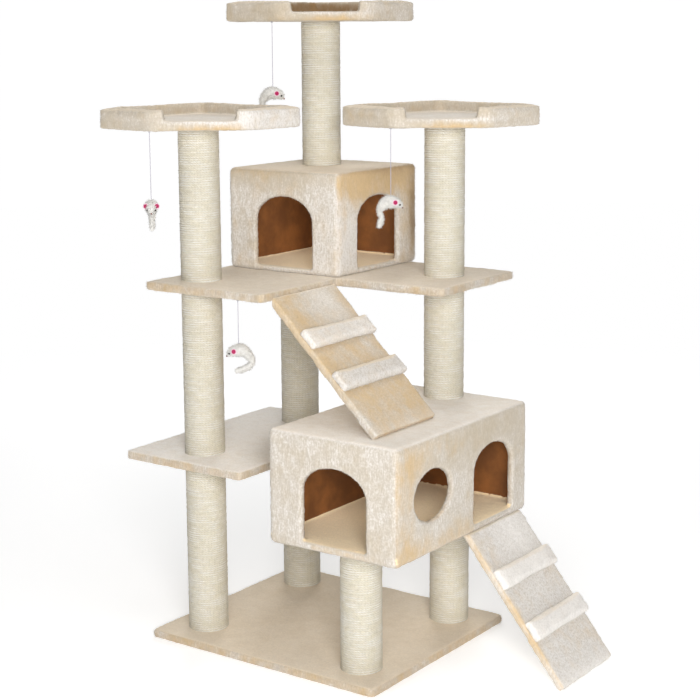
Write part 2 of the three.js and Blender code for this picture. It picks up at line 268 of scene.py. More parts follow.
def stretched(tree, place, x, y, z):
    return node(tree, "VectorMath", {"operation": "MULTIPLY"}, i0=place, i1=(x, y, z)).outputs["Vector"]


def plush_material():
    """Short brushed pile. Points say how tan, golden and white it is, how much it darkens toward brown,
    partly as its own tone and partly as painted shade, how much of a flat top, and whether it is the floor
    of a house."""
    material, tree, shader = new_material("plush")
    place = object_place(tree)
    clouds = speckle(tree, place, 9, 3)
    mottle = speckle(tree, place, 34, 4)
    grain = speckle(tree, place, 190, 4)
    streaks = speckle(tree, stretched(tree, place, 1, 1, 0.22), 260, 3)
    brushed = speckle(tree, stretched(tree, place, 1, 1, 0.55), 34, 5)
    fibres = speckle(tree, place, 700, 2)
    pile = maths(tree, "MULTIPLY_ADD", grain, 0.5, maths(tree, "MULTIPLY", streaks, 0.5))
    pale = maths(tree, "MULTIPLY_ADD", attribute(tree, "tan"), -0.2, pile)
    colour = blend_colours(tree, ramp(tree, pale, 0.38, 0.62), CREAM, PALE)
    blotches = maths(tree, "MULTIPLY_ADD", mottle, 1.3, maths(tree, "MULTIPLY_ADD", clouds, 1.2, -1.25))
    dusk = maths(tree, "ADD", attribute(tree, "tan"), blotches)
    colour = blend_colours(tree, ramp(tree, dusk, -0.2, 1.1), colour, TAN)
    drift = maths(tree, "MULTIPLY_ADD", brushed, 1.4, maths(tree, "MULTIPLY_ADD", clouds, 1.6, -1.5))
    warm = maths(tree, "ADD", attribute(tree, "gold"), drift)
    colour = blend_colours(tree, ramp(tree, warm, -0.1, 1.3), colour, GOLD)
    flat = blend_colours(tree, ramp(tree, blotches, -0.8, 0.8), TOP_GREY, TOP_TAN)
    colour = blend_colours(tree, attribute(tree, "top"), colour, flat)
    uneven = maths(tree, "MULTIPLY_ADD", mottle, 0.8, 0.6)
    whitened = maths(tree, "MULTIPLY", attribute(tree, "white"), uneven)
    colour = blend_colours(tree, ramp(tree, whitened, 0.0, 1.0), colour, WHITEST)
    colour = blend_colours(tree, attribute(tree, "indoors"), colour, FLOOR_TAN)
    # Toward brown: its own tone in places, and painted shade on the cut edges of the openings and inside the
    # perch rims.
    brown_and_shade_amount = maths(tree, "MULTIPLY", attribute(tree, "brown"), maths(tree, "ADD", brushed, 0.5))
    colour = blend_colours(tree, ramp(tree, brown_and_shade_amount, 0.0, 1.0), colour, SHADED_BROWN)
    shade = maths(tree, "MULTIPLY_ADD", ramp(tree, pile, 0.3, 0.7), 0.16, 0.91)
    shade = maths(tree, "MULTIPLY", shade, maths(tree, "MULTIPLY_ADD", fibres, 0.16, 0.92))
    tree.links.new(darkened(tree, colour, shade), shader.inputs["Base Color"])
    coarse = bump(tree, pile, 0.0016, 0.6)
    tree.links.new(bump(tree, fibres, 0.0008, 0.6, coarse), shader.inputs["Normal"])
    shader.inputs["Roughness"].default_value = 1.0
    shader.inputs["Specular IOR Level"].default_value = 0.1
    shader.inputs["Sheen Weight"].default_value = 0.2
    shader.inputs["Sheen Roughness"].default_value = 0.6
    return material


def rope_material():
    """Twisted sisal. The piece's origin is on its post's axis, so strands follow the turn."""
    material, tree, shader = new_material("sisal_rope")
    place = object_place(tree)
    split = node(tree, "SeparateXYZ", i0=place)
    angle = maths(tree, "ARCTAN2", split.outputs["Y"], split.outputs["X"])
    turns = maths(tree, "DIVIDE", angle, 2 * math.pi)
    across = maths(tree, "SUBTRACT", maths(tree, "DIVIDE", split.outputs["Z"], ROPE_PITCH), turns)
    strands = maths(tree, "MULTIPLY_ADD", turns, STRANDS_PER_TURN, across)
    wave = maths(tree, "SINE", maths(tree, "MULTIPLY", strands, 2 * math.pi))
    groove = maths(tree, "COSINE", maths(tree, "MULTIPLY", across, 2 * math.pi))
    fibres = speckle(tree, place, 420, 3)
    blotches = speckle(tree, stretched(tree, place, 1, 1, 2.5), 26, 4)
    flecks = speckle(tree, stretched(tree, place, 1, 1, 1.8), 150, 4)
    each_turn = node(tree, "TexNoise", {"noise_dimensions": "1D"}, W=across, Scale=1.3, Detail=1.0)
    colour = blend_colours(tree, ramp(tree, blotches, 0.35, 0.7), dyed(225, 217, 196), dyed(240, 237, 228))
    # Painted shade: the grooves between the turns are darkened toward tan-brown, in the paler blotches.
    groove_shade = maths(tree, "MULTIPLY", ramp(tree, groove, 0.2, 1.3), ramp(tree, blotches, 0.35, 0.7))
    colour = blend_colours(tree, groove_shade, colour, dyed(200, 183, 142))
    shade = maths(tree, "MULTIPLY_ADD", ramp(tree, fibres, 0.3, 0.7), 0.2, 0.89)
    shade = maths(tree, "MULTIPLY", shade, maths(tree, "MULTIPLY_ADD", wave, 0.05, 0.97))
    shade = maths(tree, "MULTIPLY", shade, maths(tree, "MULTIPLY_ADD", each_turn.outputs["Fac"], 0.12, 0.94))
    flecked = maths(tree, "MULTIPLY_ADD", ramp(tree, flecks, 0.3, 0.7), 0.16, 0.92)
    shade = maths(tree, "MULTIPLY", shade, flecked)
    tree.links.new(darkened(tree, colour, shade), shader.inputs["Base Color"])
    twisted = bump(tree, wave, 0.0006, 0.7)
    tree.links.new(bump(tree, fibres, 0.0006, 0.7, twisted), shader.inputs["Normal"])
    shader.inputs["Roughness"].default_value = 0.62
    shader.inputs["Specular IOR Level"].default_value = 0.4
    return material


def board_material(name, light, dark):
    """Brown fibre board, as the insides of the houses show it."""
    material, tree, shader = new_material(name)
    place = object_place(tree)
    cloud = speckle(tree, place, 9, 4)
    chips = speckle(tree, place, 260, 3)
    colour = blend_colours(tree, ramp(tree, cloud, 0.35, 0.7), dark, light)
    shade = maths(tree, "MULTIPLY_ADD", chips, 0.24, 0.88)
    tree.links.new(darkened(tree, colour, shade), shader.inputs["Base Color"])
    tree.links.new(bump(tree, chips, 0.0003, 0.5), shader.inputs["Normal"])
    shader.inputs["Roughness"].default_value = 0.75
    return material


def steel_material():
    material, tree, shader = new_material("zinc_steel")
    brushed = speckle(tree, object_place(tree), 900, 4)
    tree.links.new(blend_colours(tree, brushed, rgb(170, 172, 175), rgb(214, 216, 219)),
                   shader.inputs["Base Color"])
    tree.links.new(maths(tree, "MULTIPLY_ADD", brushed, 0.2, 0.28), shader.inputs["Roughness"])
    tree.links.new(bump(tree, brushed, 0.0001, 0.4), shader.inputs["Normal"])
    shader.inputs["Metallic"].default_value = 1.0
    return material


def cardboard_material():
    """Spiral-wound brown tube."""
    material, tree, shader = new_material("cardboard_tube")
    place = object_place(tree)
    bands = node(tree, "TexWave", {"wave_profile": "SAW"}, Vector=place, Scale=6.0, Distortion=0.4)
    fibre = speckle(tree, place, 300, 3)
    colour = blend_colours(tree, bands.outputs["Fac"], rgb(160, 122, 76), rgb(178, 140, 92))
    colour = blend_colours(tree, maths(tree, "MULTIPLY", fibre, 0.5), colour, rgb(132, 98, 60))
    tree.links.new(colour, shader.inputs["Base Color"])
    tree.links.new(bump(tree, fibre, 0.0003, 0.5), shader.inputs["Normal"])
    shader.inputs["Roughness"].default_value = 0.9
    return material


def fluff_material(name, light, dark, grain=700):
    """Loose long fibres of one colour, shaded between them."""
    material, tree, shader = new_material(name)
    place = object_place(tree)
    fibres = speckle(tree, place, grain, 3)
    clumps = speckle(tree, place, grain / 5, 3)
    shade = maths(tree, "MULTIPLY_ADD", fibres, 0.5, maths(tree, "MULTIPLY", clumps, 0.5))
    tree.links.new(blend_colours(tree, ramp(tree, shade, 0.3, 0.6), dark, light),
                   shader.inputs["Base Color"])
    tree.links.new(bump(tree, shade, 0.0015, 0.7), shader.inputs["Normal"])
    shader.inputs["Roughness"].default_value = 1.0
    shader.inputs["Specular IOR Level"].default_value = 0.1
    shader.inputs["Sheen Weight"].default_value = 0.4
    return material


def ear_material():
    """Pale pink felt with a magenta middle. The disc lies across its own Z axis."""
    material, tree, shader = new_material("ear_felt")
    place = object_place(tree)
    fibres = speckle(tree, place, 900, 3)
    across = stretched(tree, place, 1, 1, 0)
    from_middle = node(tree, "VectorMath", {"operation": "LENGTH"}, i0=across).outputs["Value"]
    edge = maths(tree, "MULTIPLY_ADD", fibres, EAR_BLUR, from_middle)
    outside_spot = ramp(tree, edge, EAR_SPOT, EAR_SPOT + EAR_BLUR)
    colour = blend_colours(tree, outside_spot, dyed(176, 12, 84), dyed(244, 214, 226))
    shade = maths(tree, "MULTIPLY_ADD", fibres, 0.3, 0.85)
    tree.links.new(darkened(tree, colour, shade), shader.inputs["Base Color"])
    tree.links.new(bump(tree, fibres, 0.0004, 0.7), shader.inputs["Normal"])
    shader.inputs["Roughness"].default_value = 0.95
    shader.inputs["Sheen Weight"].default_value = 0.3
    return material


def bead_material():
    """Glossy black plastic of the eyes."""
    material, tree, shader = new_material("black_bead")
    scuffs = speckle(tree, object_place(tree), 1500, 2)
    colour = blend_colours(tree, scuffs, rgb(16, 14, 14), rgb(30, 27, 26))
    tree.links.new(colour, shader.inputs["Base Color"])
    tree.links.new(maths(tree, "MULTIPLY_ADD", scuffs, 0.1, 0.12), shader.inputs["Roughness"])
    return material


# ---------------------------------------------------------------- mesh helpers


def points_of(thing):
    flat = np.empty(len(thing.data.vertices) * 3)
    thing.data.vertices.foreach_get("co", flat)
    return flat.reshape(-1, 3)


def move_points(thing, points):
    thing.data.vertices.foreach_set("co", points.astype(np.float32).ravel())
    thing.data.update()


def normals_of(thing):
    flat = np.empty(len(thing.data.vertices) * 3)
    thing.data.vertices.foreach_get("normal", flat)
    return flat.reshape(-1, 3)


def paint(thing, name, values):
    """Stores a number for each point, which the materials read by name."""
    layer = thing.data.attributes.new(name, "FLOAT", "POINT")
    layer.data.foreach_set("value", np.asarray(values, np.float32))


def smooth_step(values, low, high):
    t = np.clip((values - low) / (high - low), 0, 1)  # low may be above high, for a fall
    return t * t * (3 - 2 * t)


def lumps(points, cell, seed):
    """Smooth noise from -1 to 1, with bumps about one cell across."""
    size = 32
    lattice = np.random.default_rng(seed).uniform(-1, 1, (size, size, size))
    scaled = points / cell
    low = np.floor(scaled).astype(int)
    t = scaled - low
    t = t * t * (3 - 2 * t)
    total = np.zeros(len(points))
    for corner in itertools.product((0, 1), repeat=3):
        weight = np.prod(np.where(np.array(corner), t, 1 - t), axis=1)
        at = (low + corner) % size
        total += weight * lattice[at[:, 0], at[:, 1], at[:, 2]]
    return total


def new_object(name, points, faces, materials=()):
    mesh = bpy.data.meshes.new(name)
    mesh.from_pydata([tuple(p) for p in points], [], faces)
    for material in materials:
        mesh.materials.append(material)
    return add_object(name, mesh)


def solid_copy(name, nodes, grow=0.0):
    """One new object holding copies of CAD nodes, each grown a little about its own middle."""
    joined = bmesh.new()
    for each in nodes:
        part = bmesh.new()
        part.from_mesh(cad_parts[each].data)
        bmesh.ops.remove_doubles(part, verts=part.verts, dist=1e-5)
        low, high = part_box(each)
        middle = (low + high) / 2
        for vertex in part.verts:
            for axis in range(3):
                vertex.co[axis] += math.copysign(grow, vertex.co[axis] - middle[axis])
        mesh = bpy.data.meshes.new("part")
        part.to_mesh(mesh)
        joined.from_mesh(mesh)
        bpy.data.meshes.remove(mesh)
        part.free()
    mesh = bpy.data.meshes.new(name)
    joined.to_mesh(mesh)
    joined.free()
    return add_object(name, mesh)


def settle(thing):
    """Turns what the object's modifiers make into its own mesh."""
    whole = thing.evaluated_get(bpy.context.evaluated_depsgraph_get())
    mesh = bpy.data.meshes.new_from_object(whole)
    thing.modifiers.clear()
    thing.data = mesh


def remesh(thing, voxel, rounds=0):
    """An even mesh of small faces, with its edges softened by some rounds of smoothing."""
    modifier = thing.modifiers.new("even", "REMESH")
    modifier.mode = "VOXEL"
    modifier.voxel_size = voxel
    if rounds:
        softer = thing.modifiers.new("soft", "SMOOTH")
        softer.factor = 0.5
        softer.iterations = rounds
    settle(thing)
    shade_smooth(thing)


def shade_smooth(thing):
    thing.data.polygons.foreach_set("use_smooth", [True] * len(thing.data.polygons))


def use_material(thing, material):
    thing.data.materials.clear()
    thing.data.materials.append(material)


def finish_piece(thing, body, replaced=(), material=None):
    if material is not None:
        use_material(thing, material)
    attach(thing, body)
    if replaced:
        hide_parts(*replaced)
    return thing


# ---------------------------------------------------------------- plush-covered pieces

VOXEL = 0.0045
HOUSE_VOXEL = 0.005  # keeps the big house's cover below 200,000 faces
PILE = 0.0007  # how unevenly the pile stands
COVER = 0.0008  # how far the pile stands over the board's own size
ABOVE_FLOOR = 0.0002  # what stands on the floor has its pile pressed flat
PRESSED = 0.010  # how far round a staple the pile is pressed
KNOT_ROOM = 0.0027  # and how far above the string's top, which leaves room for a tilted knot


def raise_pile(thing, seed, pile=PILE, cover=COVER):
    points = points_of(thing)
    rough = pile * (lumps(points, 0.009, seed) + 0.6 * lumps(points, 0.0045, seed + 1))
    wavy = 1.2 * pile * lumps(points, 0.055, seed + 2)
    move_points(thing, points + normals_of(thing) * (cover + rough + wavy)[:, None])


def paint_plush(thing, tan=0.3, gold=0.0, white=0.0, brown=0.0, patches=()):
    """Marks flat tops, and the tones of the pile: all over, and in some patches. The tone toward brown also
    carries painted shade.
    """
    points = points_of(thing)
    tones = {tone: np.full(len(points), float(level))
             for tone, level in (("tan", tan), ("gold", gold), ("white", white), ("brown", brown))}
    for tone, facing, middle, radius, strength in patches:
        far = np.linalg.norm((points - np.array(middle)) / np.array(radius), axis=1)
        towards = smooth_step(normals_of(thing) @ np.array(facing), 0.3, 0.8)
        tones[tone] += strength * np.exp(-far * far) * towards
    for tone, values in tones.items():
        paint(thing, tone, values)
    paint(thing, "top", smooth_step(normals_of(thing)[:, 2], 0.7, 0.95))
    paint(thing, "indoors", np.zeros(len(points)))


def add_tufts(thing, count, length, width, seed, share=None, droop=0.5):
    """Slim closed tufts of pile standing on the surface, most where the points' share is highest."""
    random = np.random.default_rng(seed)
    mesh = bmesh.new()
    mesh.from_mesh(thing.data)
    mesh.faces.ensure_lookup_table()
    weights = np.array([face.calc_area() for face in mesh.faces])
    if share is not None:
        weights *= np.array([min(share[vertex.index] for vertex in face.verts) for face in mesh.faces])
    chosen = random.choice(len(weights), count, p=weights / weights.sum())
    roots = [(mesh.faces[i].calc_center_median(), mesh.faces[i].normal.copy(), mesh.faces[i].verts[0])
             for i in chosen]
    for root, normal, example in roots:
        lean = Vector(random.normal(0, 0.45, 3)) + Vector((0, 0, -droop))
        tip = root + (normal + lean).normalized() * length * random.uniform(0.6, 1.2)
        side = normal.orthogonal().normalized()
        foot = [root - normal * width + Matrix.Rotation(2 * math.pi * k / 3, 3, normal) @ side * width
                for k in range(3)]
        corners = [mesh.verts.new(p, example) for p in (*foot, tip)]
        for a, b, c in ((0, 1, 3), (1, 2, 3), (2, 0, 3), (2, 1, 0)):
            mesh.faces.new((corners[a], corners[b], corners[c]))
    mesh.to_mesh(thing.data)
    mesh.free()
    shade_smooth(thing)


TUFT_LENGTH = 0.004
EDGE_TUFT_LENGTH = 0.0055  # on the edges of boards
TUFT_WIDTH = 0.0006


def fuzz(thing, count, seed, also=None, length=TUFT_LENGTH):
    """Tufts where the surface bends round an edge, and on the points that also names."""
    turned = np.abs(normals_of(thing)).max(axis=1)
    share = smooth_step(turned, 0.97, 0.88)
    if also is not None:
        share = np.maximum(share, also)
    add_tufts(thing, count, length, TUFT_WIDTH, seed, share, 0.0)


def press_pile(thing):
    """Presses the pile upwards round each staple, so that the knots and strings swing free."""
    points = points_of(thing)
    for toy in MICE:
        low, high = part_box(f"{toy}_toy_string")
        middle = (low + high) / 2
        near = np.hypot(points[:, 0] - middle.x, points[:, 1] - middle.y) < PRESSED
        near &= abs(points[:, 2] - high.z) < PRESSED
        points[near, 2] = np.maximum(points[near, 2], high.z + KNOT_ROOM)
    move_points(thing, points)


def plush_board(name, nodes, seed, tufts, tones=None, rounds=4):
    made = solid_copy(name, nodes)
    remesh(made, VOXEL, rounds)
    paint_plush(made, **(tones or {}))
    raise_pile(made, seed)
    edge = smooth_step(np.abs(normals_of(made)[:, 2]), 0.6, 0.3)
    fuzz(made, tufts, seed, edge, EDGE_TUFT_LENGTH)
    points = points_of(made)
    points[:, 2] = np.maximum(points[:, 2], ABOVE_FLOOR)
    move_points(made, points)
    press_pile(made)
    return finish_piece(made, TREE, nodes, PLUSH)


make_camera()
make_studio()

ROPE_PITCH = 0.0066
STRANDS_PER_TURN = 42

PLUSH = plush_material()
ROPE = rope_material()
BROWN_BOARD = board_material("brown_board", rgb(137, 84, 36), rgb(104, 61, 22))
STEEL = steel_material()
CARDBOARD = cardboard_material()
WHITE_FLUFF = fluff_material("white_fluff", dyed(236, 234, 229), dyed(203, 200, 193))
EAR_SPOT = 0.0060  # how far the magenta middle of an ear reaches
EAR_BLUR = 0.0012  # and how wide its edge is
EAR_FELT = ear_material()
NOSE_FELT = fluff_material("nose_felt", rgb(128, 62, 52), rgb(92, 44, 38))
CORD_WHITE = fluff_material("cord_white", dyed(204, 200, 212), dyed(164, 158, 173), 2500)
BEAD = bead_material()

# ---------------------------------------------------------------- toy strings

STRING_WIDTH = 0.0022
PLY_PITCH = 0.006
STAPLE_WIRE = 0.0007  # radius
STAPLE_REACH = 0.0034  # from the string's middle to a leg


def skin_faces(rings, sides):
    """The faces of a closed skin whose points lie in rings along it."""
    faces = []
    for ring in range(rings - 1):
        for side in range(sides):
            a, b = ring * sides + side, ring * sides + (side + 1) % sides
            faces.append((a, b, b + sides, a + sides))
    faces.append(tuple(reversed(range(sides))))
    faces.append(tuple((rings - 1) * sides + side for side in range(sides)))
    return faces


def tube(name, path, radius_at, material, sides=12):
    """A closed round skin along a path of points. radius_at(row, angle) gives its radius."""
    path = [Vector(p) for p in path]
    points = []
    side_way = (path[1] - path[0]).orthogonal().normalized()
    for row, middle in enumerate(path):
        along = (path[min(row + 1, len(path) - 1)] - path[max(row - 1, 0)]).normalized()
        side_way = (side_way - along * side_way.dot(along)).normalized()
        other_way = along.cross(side_way)
        for side in range(sides):
            angle = 2 * math.pi * side / sides
            radius = radius_at(row, angle)
            points.append(middle + radius * (math.cos(angle) * side_way + math.sin(angle) * other_way))
    made = new_object(name, points, skin_faces(len(path), sides), [material])
    shade_smooth(made)
    return made


def toy_string(toy):
    """A three-ply cord hanging straight down from its staple, with a knot at its top."""
    low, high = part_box(f"{toy}_toy_string")
    x, y = (low.x + high.x) / 2, (low.y + high.y) / 2
    length = high.z - low.z
    rows_per_turn = 8
    rows = max(2, round(length / PLY_PITCH * rows_per_turn))
    line = [(x, y, high.z - length * row / rows) for row in range(rows + 1)]

    def plies(row, angle):
        return STRING_WIDTH / 2 * (0.88 + 0.12 * math.cos(3 * (angle - 2 * math.pi * row / rows_per_turn)))

    made = tube(f"{toy}_string", line, plies, CORD_WHITE)
    finish_piece(made, f"{toy}_toy", [f"{toy}_toy_string"])
    knot = button(f"{toy}_knot", Vector((x, y, high.z)), (0, 0, -1), STRING_WIDTH, STRING_WIDTH,
                  CORD_WHITE, -0.3)
    finish_piece(knot, f"{toy}_toy")
    path = [(x, y, high.z - length * step / 20) for step in range(21)]
    return made, path, length


def string_staple(toy):
    """A bent wire over the string's knot, with its legs up in the board."""
    low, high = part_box(f"{toy}_toy_string")
    x, y = (low.x + high.x) / 2, (low.y + high.y) / 2
    bar, leg = high.z - STRING_WIDTH / 2 - 2 * STAPLE_WIRE, 0.008
    bend = 0.0012
    half = [
        (STAPLE_REACH, bar + leg), (STAPLE_REACH, bar + bend),
        (STAPLE_REACH - 0.3 * bend, bar + 0.3 * bend), (STAPLE_REACH - bend, bar), (STRING_WIDTH, bar),
    ]
    turned = turn(YAW, "Z")
    line = half + [(-across, height) for across, height in reversed(half)]
    path = [Vector((x, y, 0)) + turned @ Vector((across, 0, height)) for across, height in line]
    made = tube(f"{toy}_staple", path, lambda row, angle: STAPLE_WIRE, STEEL, 8)
    return finish_piece(made, TREE)


# ---------------------------------------------------------------- rope windings


def winding(post, section):
    """Rope wound round a post section. Its rows of points climb one pitch in each turn."""
    low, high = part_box(f"{post}_post_rope_{section}")
    core_low, core_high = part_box(f"{post}_post_core_{section}")
    outside = (high.x - low.x) / 2
    inside = (core_high.x - core_low.x) / 2 + 0.0002
    height = high.z - low.z
    around, rows_per_pitch = 56, 6
    step = ROPE_PITCH / rows_per_pitch
    rows = math.ceil(height / step) + rows_per_pitch
    sliver = 2e-5  # how far apart the rows stay where the rope is cut off level
    random = np.random.default_rng(len(post) * 10 + int(section))
    loose = random.uniform(-1, 1, rows)
    waves = random.uniform(0, 2 * math.pi, 3)
    rope = bmesh.new()
    grid = []
    for row in range(rows + 1):
        share = row / rows_per_pitch % 1
        bulge = math.sqrt(1 - 0.8 * (2 * share - 1) ** 2)
        radius = outside - 0.36 * ROPE_PITCH * (1 - bulge) + 0.0005 * loose[row // rows_per_pitch] * bulge
        line = []
        for side in range(around):
            angle = 2 * math.pi * side / around
            z = (row - rows_per_pitch + rows_per_pitch * side / around) * step
            # The turns lie a little unevenly, and the same at both ends of a row.
            z += (0.0009 * math.sin(angle + waves[0] + z * 23)
                  + 0.0005 * math.sin(3 * angle + waves[1] - z * 31))
            z = min(max(z, row * sliver), height - (rows - row) * sliver)
            line.append(rope.verts.new((radius * math.cos(angle), radius * math.sin(angle), z)))
        grid.append(line)
    for row in range(rows):
        for side in range(around - 1):
            rope.faces.new((grid[row][side], grid[row][side + 1],
                            grid[row + 1][side + 1], grid[row + 1][side]))
    # The end of each row meets the start of the row one pitch above.
    for row in range(rows - rows_per_pitch):
        above = row + rows_per_pitch
        rope.faces.new((grid[row][-1], grid[above][0], grid[above + 1][0], grid[row + 1][-1]))
    bore = []
    for z in (0, height):
        bore.append([rope.verts.new((inside * math.cos(2 * math.pi * side / around),
                                     inside * math.sin(2 * math.pi * side / around), z))
                     for side in range(around)])
    for side in range(around):
        across = (side + 1) % around
        rope.faces.new((bore[0][across], bore[0][side], bore[1][side], bore[1][across]))
    for z in (0, height):
        rim = [e for e in rope.edges if e.is_boundary and abs(e.verts[0].co.z - z) < 0.001]
        bmesh.ops.bridge_loops(rope, edges=rim)
    bmesh.ops.recalc_face_normals(rope, faces=rope.faces)
    mesh = bpy.data.meshes.new("rope")
    rope.to_mesh(mesh)
    rope.free()
    made = add_object(f"{post}_rope_{section}", mesh)
    made.location = ((low.x + high.x) / 2, (low.y + high.y) / 2, low.z)
    shade_smooth(made)
    return finish_piece(made, TREE, [f"{post}_post_rope_{section}"], ROPE)


# ---------------------------------------------------------------- houses


HOUSE_CORNER = 0.015
BARE_BOARD = 0.004  # how much of a wall's inner side is bare board
# Painted shade on the cut edges of the openings, as a share of the way to brown.
JAMB_SHADE = 0.28  # how shadowed the cut edges of the openings are
FRINGE = 0.0015  # how far the fur stands out there
FRINGE_VARIES = 0.0016
HOUSE_TUFTS = 7000
WALL_SIDES = ("front", "back", "left", "right")


def rounded_box(points, low, high, radius):
    """Pulls points outside a box's rounded edges and corners in to them."""
    heart = np.clip(points, low + radius, high - radius)
    out = points - heart
    far = np.linalg.norm(out, axis=1)
    pull = np.where(far > radius, radius / np.maximum(far, 1e-9), 1)
    return heart + out * pull[:, None]


def open_wider(board, extra):
    """Moves the edges of a bare board's openings back, so that the fur hides them."""
    points = points_of(board)
    low, high = points.min(axis=0), points.max(axis=0)
    along = int(np.argmax((high - low)[:2]))
    margin = 0.005
    opening = (points[:, along] > low[along] + margin) & (points[:, along] < high[along] - margin)
    opening &= points[:, 2] < high[2] - margin
    # Doors and windows are told apart by the gap between them along the wall.
    order = np.argsort(points[opening, along])
    chosen = np.flatnonzero(opening)[order]
    splits = np.flatnonzero(np.diff(points[chosen, along]) > 0.03) + 1
    for group in np.split(chosen, splits):
        if not len(group):
            continue
        edge = points[group]
        middle = (edge.min(axis=0) + edge.max(axis=0)) / 2
        half = (edge.max(axis=0) - edge.min(axis=0))[along] / 2
        is_door = edge[:, 2].min() < low[2] + margin
        spring = edge[:, 2].max() - half if is_door else middle[2]
        across, up = edge[:, along] - middle[along], edge[:, 2] - spring
        up = np.maximum(up, 0) if is_door else up
        far = np.maximum(np.hypot(across, up), 1e-9)
        points[group, along] += extra * across / far
        points[group, 2] += extra * up / far
    move_points(board, points)


def house_cover(name, seed, tones, sill, rounds=3):
    """One plush cover over a house's roof, walls and floor, with the bare boards inside its walls.
    The floor's own cloth reaches as far as sill into the doorways."""
    walls = [f"{name}_{side}_wall" for side in WALL_SIDES]
    nodes = [*walls, f"{name}_floor", f"{name}_roof"]
    made = solid_copy(f"{name}_cover", nodes, 0.0005)
    remesh(made, HOUSE_VOXEL, rounds)
    low = np.min([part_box(each)[0] for each in nodes], axis=0)
    high = np.max([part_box(each)[1] for each in nodes], axis=0)
    move_points(made, rounded_box(points_of(made), low, high, HOUSE_CORNER))
    paint_plush(made, **tones)
    front, back, left, right = (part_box(each) for each in walls)
    room_low = np.array([left[1].x, front[1].y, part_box(f"{name}_floor")[1].z])
    room_high = np.array([right[0].x, back[0].y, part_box(f"{name}_roof")[0].z])
    points = points_of(made)
    on_floor = abs(points[:, 2] - room_low[2]) < 0.006
    in_plan = np.all((points > room_low - sill)[:, :2] & (points < room_high + sill)[:, :2], axis=1)
    made.data.attributes["indoors"].data.foreach_set("value", (on_floor & in_plan).astype(np.float32))
    raise_pile(made, seed)

    # The fur stands out at the cut edges of the openings.
    points, normals = points_of(made), normals_of(made)
    beside_room = (points[:, 2] > room_low[2] + 0.002) & (points[:, 2] < room_high[2] - 0.002)
    sideways = np.minimum(points[:, :2] - low[:2], high[:2] - points[:, :2]).min(axis=1)
    in_wall = beside_room & (sideways > 0.003) & (sideways < 0.016)
    fringe = FRINGE + FRINGE_VARIES * lumps(points, 0.007, seed + 5)
    points[in_wall] += normals[in_wall] * fringe[in_wall, None]
    # Painted shade darkens the cut edges of the openings toward brown, in uneven lumps.
    brown_and_shade_levels = np.empty(len(points), np.float32)
    made.data.attributes["brown"].data.foreach_get("value", brown_and_shade_levels)
    brown_and_shade_levels += in_wall * np.clip(JAMB_SHADE + 0.9 * JAMB_SHADE * lumps(points, 0.005, seed + 6), 0, 1)
    made.data.attributes["brown"].data.foreach_set("value", brown_and_shade_levels)

    # The cover's inner side stays inside the bare boards.
    hidden = BARE_BOARD * 0.75
    depths = np.hstack([points[:, :2] - room_low[:2] + hidden, room_high[:2] + hidden - points[:, :2]])
    nearest = np.argmin(depths, axis=1)
    inside = beside_room & np.all(depths > 0, axis=1) & (np.min(depths, axis=1) < 2 * BARE_BOARD)
    for choice, plane in enumerate((*(room_low[:2] - hidden), *(room_high[:2] + hidden))):
        points[inside & (nearest == choice), choice % 2] = plane
    move_points(made, points)
    fuzz(made, HOUSE_TUFTS, seed, 0.6 * in_wall)
    flat_side = made.modifiers.new("flat_side", "DECIMATE")
    flat_side.decimate_type = "DISSOLVE"
    flat_side.angle_limit = 0.0005
    settle(made)
    shade_smooth(made)
    finish_piece(made, TREE, nodes, PLUSH)
    for each in walls:
        bare = solid_copy(each.replace("wall", "board"), [each])
        points = points_of(bare)
        points[:, :2] = np.clip(points[:, :2], room_low[:2] - BARE_BOARD, room_high[:2] + BARE_BOARD)
        move_points(bare, points)
        open_wider(bare, 0.0025)
        finish_piece(bare, TREE, (), BROWN_BOARD)


# ---------------------------------------------------------------- padded pieces

PUFF_FRAMES = 14


def puff(things, pressure, cap):
    """Stuffs padded pieces in one cloth simulation, in which no point moves further than cap.
    things gives each piece with the share of the cap that each of its points may move."""
    starts = [points_of(thing) for thing in things]
    for thing in things:
        modifier = thing.modifiers.new("stuffing", "CLOTH")
        modifier.settings.use_pressure = True
        modifier.settings.uniform_pressure_force = pressure
        modifier.settings.effector_weights.gravity = 0
        modifier.settings.quality = 4
        modifier.point_cache.frame_end = PUFF_FRAMES
    for number in range(1, PUFF_FRAMES + 1):
        bpy.context.scene.frame_set(number)
    for (thing, share), start in zip(things.items(), starts):
        settle(thing)
        moved = points_of(thing) - start
        far = np.linalg.norm(moved, axis=1)
        kept = share * np.minimum(1, cap / np.maximum(far, 1e-9))
        move_points(thing, start + moved * kept[:, None])
        shade_smooth(thing)


PADDED_TUFTS = 2500


def padded_piece(thing, nodes, seed, tones):
    """Finishes a stuffed piece after its simulation."""
    paint_plush(thing, **tones)
    raise_pile(thing, seed)
    fuzz(thing, PADDED_TUFTS, seed)
    press_pile(thing)
    finish_piece(thing, TREE, nodes, PLUSH)


def perch_cover(perch):
    """The tray that a perch's rim and seat make under one cover, and which points the rim owns."""
    made = solid_copy(f"{perch}_perch_cover", [f"{perch}_perch_seat", f"{perch}_perch_rim"], 0.0005)
    remesh(made, 0.004, 7)
    seat_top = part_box(f"{perch}_perch_seat")[1].z
    return made, smooth_step(points_of(made)[:, 2], seat_top - 0.002, seat_top + 0.01)


def rung_pad(name):
    made = solid_copy(f"{name}_pad", [name])
    remesh(made, 0.0035, 5)
    return made, np.ones(len(made.data.vertices))


# ---------------------------------------------------------------- mouse toys

